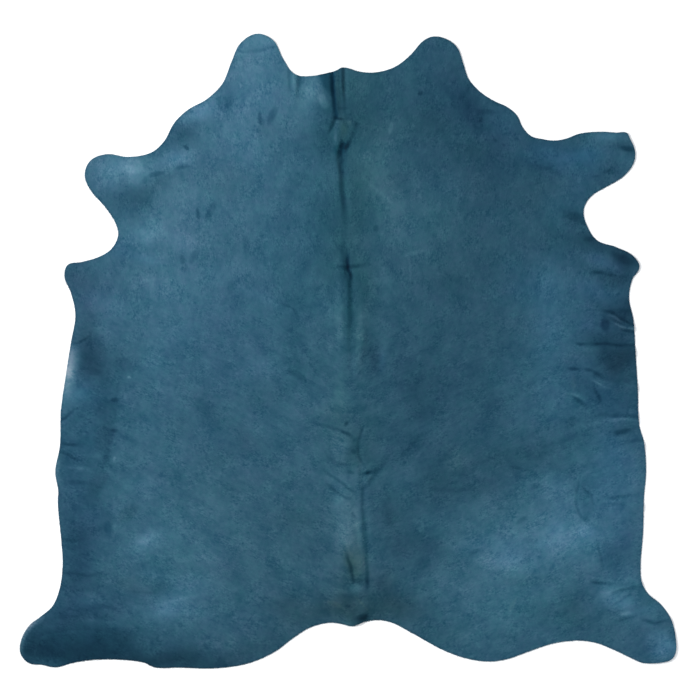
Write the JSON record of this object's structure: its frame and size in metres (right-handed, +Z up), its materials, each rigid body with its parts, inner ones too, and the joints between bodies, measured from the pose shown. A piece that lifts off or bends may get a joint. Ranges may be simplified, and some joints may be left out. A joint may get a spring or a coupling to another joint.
{
  "type": "leather hide",
  "caption": "Whole hair-on cowhide dyed petrol blue, laid flat as a rug with its natural irregular outline and a pleat down the spine.",
  "frame": {"origin": "middle of the hide's outline, on the floor that it lies on", "axes": "+Z up out of the hair side, +Y towards the nape, +X towards the animal's right side"},
  "size_m": [2.1646, 2.0926, 0.0167],
  "materials": {
    "dyed_hair": "short dyed hair lying flat, petrol blue with soft mottling"
  },
  "bodies": {
    "root": {"hide": "dyed_hair"}
  },
  "joints": []
}
